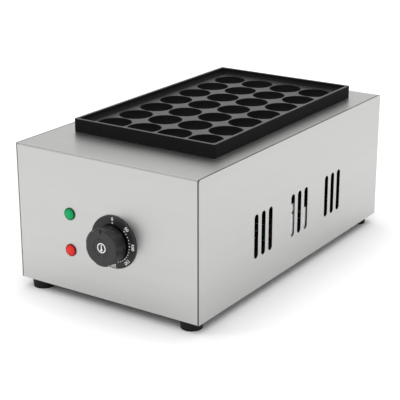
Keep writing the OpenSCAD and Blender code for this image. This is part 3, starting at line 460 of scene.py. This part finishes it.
def brushed_steel(name, axis):
    """Steel whose grain runs along one axis."""
    f = Finish(name)
    place = f.place()
    fine = {"detail": 3.0, "roughness": 0.6}
    scratches = drawn_noise(f, place, axis, SCRATCHES_ALONG, SCRATCHES_ACROSS, **fine)
    streaks = drawn_noise(f, place, axis, STREAKS_ALONG, STREAKS_ACROSS)
    patches = f.noise(place, scale=PATCHES)
    shade = 0.5 * streaks + 0.3 * patches + 0.2 * scratches
    polished = f.blend(STEEL_DARK, STEEL_PALE, shade)

    between_sides = place.axis(0).unsigned() < panel_high.x - HALF_SHEET
    between_ends = (place.axis(1) - box_middle_y).unsigned() < box_half_y - HALF_SHEET
    inside = between_sides * between_ends * (place.axis(2) < cover_high.z - HALF_SHEET)
    edge_on = f.facing().axis(0).unsigned() < 0.5
    sheared = edge_on * (place.axis(0) > panel_high.x - SHEARED_WIDTH)
    near_top = place.axis(2) > cover_high.z - FOLD_RADIUS
    folded = near_top * (place.axis(1) < cover_low.y + FOLD_RADIUS)

    # The fold gets painted shade against its highlight.
    color = f.blend(polished, FOLD_PAINTED_SHADE, folded)
    # The sheared edge gets painted shade as a dark line at the seam.
    color = f.blend(color, SHEARED_EDGE_AND_SEAM_SHADE, sheared)
    # The inside and the open seam get painted shade.
    color = f.blend(color, INSIDE_PAINTED_SHADE, inside)
    roughness = STEEL_ROUGHNESS + 0.10 * scratches + 0.05 * patches + 0.3 * inside + 0.25 * folded
    return f.done(f.shader(color, roughness, 1.0, Normal=f.bump(scratches, SCRATCH_DEPTH, 0.3)))


wear("wrap_cover", material=brushed_steel("steel_cover", axis=0))
wear("side_panel_right", "side_panel_left", material=brushed_steel("steel_side", axis=1))
print("steel done, inside begins", round(panel_high.x - HALF_SHEET, 4), "m from the middle")

# %% [markdown]
# ## Galvanised and aluminised sheet
# The base, the brackets and the tray are mild steel with a zinc or aluminium skin. As the skin
# sets, it grows flat crystals, each of which catches the light in its own way. Voronoi cells are
# the usual stand-in for such crystals: one random number a cell sets tone and gloss together.
# The base plate gets a duller and much darker copy of the coat than the rest: painted shade.
# Almost nothing of it shows, but it is what the floor under the box mirrors, and its dark colour
# makes the shadow between the feet nearly black.

# %% Coated sheet
ZINC_CRYSTAL = 6.0 * MM
ALUMINIUM_CRYSTAL = 2.2 * MM
DENT_RATE, DENT_DEPTH = 60.0, 0.1 * MM
CRYSTAL_DARK, CRYSTAL_PALE = (0.82, 0.82, 0.82), (1.0, 1.0, 1.02)


def coated_sheet(name, tone, crystal, rough=0.34, metallic=0.9):
    f = Finish(name)
    dents = f.noise(f.place(), scale=DENT_RATE)
    patch = f.voronoi(f.place(), 1.0 / crystal, output="Color").axis(0)
    color = f.blend(toned(CRYSTAL_DARK, tone), toned(CRYSTAL_PALE, tone), patch * 0.7 + dents * 0.3)
    normal = f.bump(dents, DENT_DEPTH, 0.2)
    return f.done(f.shader(color, rough + 0.14 * patch, metallic, Normal=normal))


# Painted shade: the base plate's coat is made nearly black so the underside of the box stays dark.
dull_zinc = coated_sheet("dull_zinc", 0.06, ZINC_CRYSTAL, rough=0.6, metallic=0.3)
wear("base_plate", material=dull_zinc)
# The terminal bracket gets a paler, more diffuse copy of the coat; the paleness is painted light,
# so the bracket looks lit where it shows through the vents.
pale_zinc = coated_sheet("pale_zinc", 0.85, ZINC_CRYSTAL, rough=0.55, metallic=0.15)
wear("terminal_bracket", material=pale_zinc)
wear("thermostat_bracket", material=coated_sheet("zinc_sheet", 0.50, ZINC_CRYSTAL))
aluminised = coated_sheet("aluminised", 0.55, ALUMINIUM_CRYSTAL)
wear("reflector_tray", "support_front", "support_rear", material=aluminised)
print("coated sheet done")

# %% [markdown]
# ## The cast pan
# The pan is poured in a sand mould, so it comes out with a grainy skin. The foundry then grinds
# what has to be flat, which is the cooking surface between the cups and the top of the rim, and
# bakes oil on until the whole casting is black. The ground parts are smooth enough to mirror
# the pale room at a shallow angle and look grey in the photograph; the walls and the cups keep
# the dull skin and swallow the light.
#
# Two finishes are made and a Mix Shader joins them. The mask between them asks two things of
# each point: does it face straight up, and does it lie at the height of one of the two ground
# planes. That takes the heights from the solid itself, so nothing has to be painted or unwrapped.
# The grinding wheel can't get close to a wall, so the mask also leaves a dull strip of a few
# millimetres along the two long walls.
#
# The top of the rim isn't quite flat: grinding and years of scrapers round its two edges. A bump
# whose height is an arch across the rim tilts the light there, so that the rim shows as one thin
# pale line along its far side, and not as a flat grey band.

# %% Pan finish
RIM_WIDTH, RIM_ARCH, RIM_TOP = 3.5 * MM, 0.9 * MM, 0.3 * MM
WEB_BELOW, WEB_ABOVE = 0.4 * MM, 1.2 * MM
WHEEL_STARTS, WHEEL_FULL = 2.0 * MM, 8.0 * MM
CAST_DARK, CAST_PALE = (0.003, 0.003, 0.0032), (0.010, 0.010, 0.0098)
GROUND_DARK, GROUND_PALE = (0.012, 0.012, 0.0125), (0.022, 0.022, 0.022)
SAND_GRAINS, SKIN_CLOUDS, PORES = 1400.0, 45.0, 700.0
SAND_DEPTH, GROUND_DEPTH = 0.22 * MM, 0.03 * MM


def cast_pan():
    f = Finish("cast_pan")
    place = f.place()
    grain = f.noise(place, scale=SAND_GRAINS, detail=3.0, roughness=0.65)
    skin = f.noise(place, scale=SKIN_CLOUDS, detail=3.0)
    pores = f.voronoi(place, PORES).ramp(0.05, 0.45)

    height = place.axis(2)
    across = place.axis(0).unsigned() - pan_high.x
    along = (place.axis(1) - pan_middle_y).unsigned() - (pan_high.y - pan_middle_y)
    faces_up = f.facing().axis(2).ramp(0.90, 0.985)
    web = (height > cooking_z - WEB_BELOW) * (height < cooking_z + WEB_ABOVE)
    reached = (0.0 - across).ramp(RIM_WIDTH + WHEEL_STARTS, RIM_WIDTH + WHEEL_FULL)
    rim_top = height > pan_high.z - RIM_TOP
    is_ground = faces_up * (web * reached + rim_top)

    color = f.blend(CAST_DARK, CAST_PALE, skin * 0.5 + grain * 0.5)
    normal = f.bump(grain * 0.7 + pores * 0.3, SAND_DEPTH, 0.55)
    cast = f.shader(color, 0.62 + 0.16 * grain, Specular_IOR_Level=0.09, Normal=normal)

    color = f.blend(GROUND_DARK, GROUND_PALE, skin)
    from_middle = across.or_more(along) / (RIM_WIDTH / 2) + 1.0
    arch = f.bump(rim_top * (1.0 - from_middle * from_middle), RIM_ARCH)
    normal = f.bump(grain, GROUND_DEPTH, 0.3, over=arch)
    ground = f.shader(color, 0.32 + 0.10 * skin, Specular_IOR_Level=0.6, Normal=normal)
    return f.done(f.mixed(is_ground, cast, ground))


wear("baking_pan", material=cast_pan())
print("pan done, ground planes at", round(cooking_z, 4), "and", round(pan_high.z, 4))

# %% [markdown]
# ## Moulded plastics and rubber
# Knob and dial are pressed in a steel mould whose faces were eroded by sparks. That leaves a
# fine matt texture on the plastic: tiny bumps that spread each highlight into a soft patch. Feet
# and gland come from plainer moulds and softer material, and look duller. They differ mostly in
# colour, roughness, grain size and grain depth, so one function makes them all and the calls
# below read as a table.

# %% Moulded finishes
TINT_CLOUDS = 70.0


def moulded(name, color, rough, grain_size, depth, light=1.6, spec=0.5):
    """Plastic or rubber; `light` is how much paler than its colour the palest spots are."""
    f = Finish(name)
    place = f.place()
    grain = f.noise(place, scale=1.0 / grain_size)
    cloud = f.noise(place, scale=TINT_CLOUDS, detail=3.0)
    tint = f.blend(toned(color, 0.85), toned(color, light), cloud * 0.6 + grain * 0.4)
    surface = {"Specular_IOR_Level": spec, "Normal": f.bump(grain, depth, 0.6)}
    return f.done(f.shader(tint, rough - 0.05 + 0.12 * cloud, **surface))


dial = moulded("dial_plastic", (0.013, 0.013, 0.0135), 0.48, 0.5 * MM, 0.08 * MM, spec=0.35)
wear("dial_ring", material=dial)
feet = [f"foot_{end}_{side}" for end in ("front", "rear") for side in ("left", "right")]
foot_rubber = moulded("foot_rubber", grey(0.006), 0.65, 0.9 * MM, 0.10 * MM, spec=0.2)
wear(*feet, material=foot_rubber)
wear("gland_seal", material=moulded("seal_rubber", grey(0.02), 0.70, 0.7 * MM, 0.10 * MM))
nylon = moulded("gland_nylon", (0.024, 0.024, 0.026), 0.45, 0.8 * MM, 0.06 * MM)
wear("gland_body", "gland_cap", "gland_locknut", material=nylon)
bakelite = moulded("bakelite", (0.055, 0.028, 0.016), 0.50, 0.7 * MM, 0.06 * MM)
wear("thermostat_body", material=bakelite)
pale_plastic = moulded("lamp_housing", (0.70, 0.68, 0.60), 0.50, 1.0 * MM, 0.04 * MM, light=1.1)
wear("green_lamp_body", "red_lamp_body", "push_on_terminals", material=pale_plastic)
ceramic = moulded("ceramic", (0.80, 0.78, 0.73), 0.55, 0.8 * MM, 0.08 * MM, light=1.1)
wear("terminal_block", "heater_insulators", material=ceramic)
print("moulded parts done:", feet)

# %% [markdown]
# ## The knob
# The knob is moulded in the same plastic as the dial, a little glossier, because fingers polish
# it. It tapers towards the dial, so the back of its skirt leans away from all light and shows as
# a black band against the printed ring. At this size the band is part of how the knob reads, so
# it is made sure of: a second, quite black finish takes over along the knob's axis.

# %% Knob finish
KNOB_DARK, KNOB_PALE = (0.010, 0.010, 0.0105), (0.016, 0.016, 0.0165)
KNOB_GRAINS, KNOB_GRAIN_DEPTH = 1600.0, 0.05 * MM
SHADE_ENDS, LIGHT_FULL = 1.0 * MM, 4.5 * MM


def knob_plastic():
    """Plastic whose skirt next to the dial lies in its own shade."""
    f = Finish("knob_plastic")
    place = f.place()
    grain = f.noise(place, scale=KNOB_GRAINS)
    cloud = f.noise(place, scale=TINT_CLOUDS, detail=3.0)
    color = f.blend(KNOB_DARK, KNOB_PALE, cloud)
    normal = f.bump(grain, KNOB_GRAIN_DEPTH, 0.6)
    plastic = f.shader(color, 0.29 + 0.1 * cloud, Specular_IOR_Level=0.42, Normal=normal)
    shade = f.shader(grey(0.0), 0.6, Specular_IOR_Level=0.0)
    lit = (knob_high.y - place.axis(1)).ramp(SHADE_ENDS, LIGHT_FULL)
    return f.done(f.mixed(lit, shade, plastic))


wear("knob", material=knob_plastic())
print("knob done")

# %% [markdown]
# ## Wires
# The wires lie near the heaters, so they have silicone sleeves, which bear the heat and feel
# slightly powdery. The colours follow the usual code: brown for live, blue for neutral, green
# for earth, black behind the thermostat's switch and white for the two lamps. The powder is a
# fine grain over a soft, wide highlight, which is the moulded finish again with other numbers.

# %% Wire sleeves
SLEEVES = {
    "live_wire": (0.14, 0.055, 0.025),
    "switched_wires": (0.02, 0.02, 0.02),
    "neutral_wires": (0.02, 0.09, 0.30),
    "earth_wire": (0.06, 0.22, 0.03),
    "lamp_wires": (0.50, 0.50, 0.48),
}
POWDER = {"rough": 0.55, "grain_size": 0.4 * MM, "depth": 0.05 * MM, "light": 1.25, "spec": 0.4}
for wire_node, sleeve_color in SLEEVES.items():
    wear(wire_node, material=moulded(wire_node + "_sleeve", sleeve_color, **POWDER))
print("wires done:", len(SLEEVES))

# %% [markdown]
# ## Small metal parts
# Screws and nuts are zinc plated, the screws under the base blackened, the fittings turned from
# brass. The capillary is drawn copper. The heater's steel sheath was bright once: its first
# hours of heat turned it a dull grey-brown with darker clouds. Apart from the heaters, none of
# them is larger than a finger, so a tone and a gloss that wander a little are enough to keep
# them from looking new.

# %% Metal finishes
STAIN_CLOUDS = 220.0
TOOL_MARKS, TOOL_MARK_DEPTH = 900.0, 0.03 * MM


def small_metal(name, color, rough, spread=0.12, metallic=1.0):
    """Metal whose tone wanders by a share of `spread` to both sides."""
    f = Finish(name)
    place = f.place()
    cloud = f.noise(place, scale=STAIN_CLOUDS, detail=3.0)
    marks = f.noise(place, scale=TOOL_MARKS, detail=1.0)
    tint = f.blend(toned(color, 1 - spread), toned(color, 1 + spread), cloud)
    normal = f.bump(marks, TOOL_MARK_DEPTH, 0.4)
    return f.done(f.shader(tint, rough + 0.12 * cloud, metallic, Normal=normal))


zinc = small_metal("zinc_plate", (0.62, 0.62, 0.60), 0.25)
wear("foot_washers", "foot_screws", "foot_nuts", "heater_nuts", material=zinc)
wear("heater_studs", "stud_nuts", "clamp_screws", "wire_lugs", "earth_washers", material=zinc)
wear("thermostat_screws", "thermostat_spindle", "lamp_nuts", "terminal_screws", material=zinc)
blackened = small_metal("black_screw", (0.05, 0.05, 0.055), 0.38, metallic=0.8)
wear("base_screws", "bracket_screws", material=blackened)
brass = small_metal("brass", (0.70, 0.50, 0.20), 0.24)
wear("heater_fittings", "earth_stud", "earth_nuts", material=brass)
wear("capillary_sensor", material=small_metal("copper", (0.72, 0.38, 0.22), 0.30))
sheath = small_metal("heater_sheath", (0.11, 0.10, 0.095), 0.45, spread=0.35)
wear("heater_left", "heater_right", material=sheath)
print("metals done")

# %% [markdown]
# ## Signal lamp lenses
# Each lens is a cap of clear coloured plastic over a small lamp. Light that enters near the
# middle is thrown back by the lamp's white body, while light that enters at the rim is led round
# inside the plastic and lost. So the cap has a bright core in a dark ring, whether the lamp is
# on or off. Real glass could be simulated, but it needs many light paths and shows nothing more
# at this size. The distance from the lamp's axis, in the plane of the front, mixes two tones
# instead, and a faint glow stands for the light that comes back out.

# %% Lens finish
# Where the rings of a lens begin and end, as shares of its radius.
DARK_RIM = (0.70, 0.92)
STEP_RISES, STEP_FALLS = (0.50, 0.62), (0.66, 0.76)
RIBS, RIB_DEPTH = 420.0, 0.12 * MM
LENS_GLOW = 0.12


def lens(name, node, bright, deep):
    """A coloured cap with a bright core, a faint step and a dark rim."""
    low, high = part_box(node)
    centre = (low + high) / 2
    radius = (high.x - low.x) / 2
    f = Finish(name)
    place = f.place()
    out = place.moved(-centre.x, 0, -centre.z).stretched(1, 0, 1).length() / radius
    rim = out.ramp(*DARK_RIM)
    step = out.ramp(*STEP_RISES) * (1.0 - out.ramp(*STEP_FALLS))
    ribs = f.noise(place, scale=RIBS, detail=1.0)
    core = f.blend(bright, toned(bright, 0.8), ribs)
    color = f.blend(core, deep, rim + 0.25 * step)
    normal = f.bump(ribs, RIB_DEPTH, 0.35)
    glow = f.blend(toned(bright, 0.9), toned(deep, 0.2), rim)
    gloss = {"Specular_IOR_Level": 0.12, "Emission_Color": glow, "Emission_Strength": LENS_GLOW}
    return f.done(f.shader(color, 0.22 + 0.1 * rim, Normal=normal, **gloss))


green = lens("green_lens", "green_lamp_lens", bright=(0.0, 0.36, 0.105), deep=(0.0, 0.07, 0.02))
wear("green_lamp_lens", material=green)
red = lens("red_lens", "red_lamp_lens", bright=(0.72, 0.030, 0.026), deep=(0.17, 0.003, 0.003))
wear("red_lamp_lens", material=red)
print("lenses done")

# %% [markdown]
# ## Print on the dial and the sign in the knob
# The scale is screen-printed: ink is pressed through a mesh and dries as a film thinner than a
# hair, with slightly uneven cover. It has a temperature every 45 degrees of turn, and dots
# between them from the second number on. The ink could be painted into the dial's finish, but
# digits drawn from maths are blurred or need an image, so they are real, thin shapes here:
# Blender's own text gives the digits as a mesh, discs make the dots, and all of it is one piece.
# It is drawn flat in the dial's plane, then one matrix stands it up on the ring: drawing x stays
# x, drawing y becomes height, drawing z comes out of the front. The sign in the knob is a solid
# of its own, inlaid in the plastic, and only takes the same ink.

# %% Dial print
PRINT_THICKNESS = 0.06 * MM
PRINT_DEPTH = 0.9 * PRINT_THICKNESS
NUMBER_HEIGHT = 5.0 * MM
NUMBER_SPACING = 1.02
STROKE_GROWTH = 0.16 * MM
NUMBER_INSET, DOT_INSET = 3.5 * MM, 7.3 * MM
NUMBERS, NUMBER_STEP, STEP_DEGREES = 7, 50, 45.0
DOTS_PER_STEP, DOT_SIDES = 5, 12
LARGE_DOT, SMALL_DOT = 0.8 * MM, 0.6 * MM
INK_THIN, INK_FULL, INK_WEAR = (0.62, 0.62, 0.61), (0.86, 0.86, 0.85), 900.0
dial_radius = (ring_high.x - ring_low.x) / 2
number_radius = dial_radius - NUMBER_INSET
dot_radius = dial_radius - DOT_INSET
stand_up = Matrix.Rotation(math.radians(90), 4, "X")
dial_front = Matrix.Translation((knob_axis.x, ring_low.y, knob_axis.z)) @ stand_up


def on_dial(degrees, radius):
    """Moves a flat drawing out from the middle and turns it clockwise from 12 o'clock."""
    turn = Matrix.Rotation(-math.radians(degrees), 4, "Z")
    return turn @ Matrix.Translation((0, radius, PRINT_THICKNESS))


def add_number(bm, text, degrees):
    """Digits with their feet towards the knob."""
    curve = bpy.data.curves.new("digits", "FONT")
    curve.body = text
    curve.size = NUMBER_HEIGHT
    curve.align_x = "CENTER"
    curve.align_y = "CENTER"
    curve.space_character = NUMBER_SPACING
    curve.offset = STROKE_GROWTH
    holder = bpy.data.objects.new("digits", curve)
    mesh = bpy.data.meshes.new_from_object(holder)
    mesh.transform(on_dial(degrees, number_radius))
    bm.from_mesh(mesh)
    for block in (holder, curve, mesh):
        bpy.data.batch_remove([block])


def add_dot(bm, degrees, size):
    """A small printed disc."""
    place = on_dial(degrees, dot_radius)
    bmesh.ops.create_circle(bm, cap_ends=True, segments=DOT_SIDES, radius=size, matrix=place)


def printed_mesh(name, bm, matrix, body, material):
    """Thickens a flat drawing towards its surface and puts it in the scene."""
    bmesh.ops.solidify(bm, geom=bm.faces[:], thickness=-PRINT_DEPTH)
    bmesh.ops.recalc_face_normals(bm, faces=bm.faces[:])
    mesh = bpy.data.meshes.new(name)
    bm.transform(matrix)
    bm.to_mesh(mesh)
    bm.free()
    piece = bpy.data.objects.new(name, mesh)
    bpy.context.scene.collection.objects.link(piece)
    mesh.materials.append(material)
    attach(piece, body)
    return piece


def white_print():
    f = Finish("white_print")
    worn = f.noise(f.place(), scale=INK_WEAR, detail=3.0)
    color = f.blend(INK_THIN, INK_FULL, worn.ramp(0.3, 0.6))
    return f.done(f.shader(color, 0.42 + 0.1 * worn))


ink = white_print()
drawing = bmesh.new()
for step in range(NUMBERS):
    add_number(drawing, str(NUMBER_STEP * step), step * STEP_DEGREES)
    add_dot(drawing, step * STEP_DEGREES, LARGE_DOT)
for tick in range(DOTS_PER_STEP + 1, (NUMBERS - 1) * DOTS_PER_STEP):
    if tick % DOTS_PER_STEP:
        add_dot(drawing, tick * STEP_DEGREES / DOTS_PER_STEP, SMALL_DOT)
dial_print = printed_mesh("dial_print", drawing, dial_front, "housing", ink)
wear("knob_symbol", material=ink)
print("dial print:", len(dial_print.data.polygons), "faces")

# %% [markdown]
# ## Sizes, and the end of the script
# The box of the finished scene is measured like the frame's, and how much it grew is printed.

# %% Sizes and finish
final_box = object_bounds()
cad_size, final_size = cad_box[1] - cad_box[0], final_box[1] - final_box[0]
print("box grew by", [round(v / MM, 2) for v in final_size - cad_size], "mm")
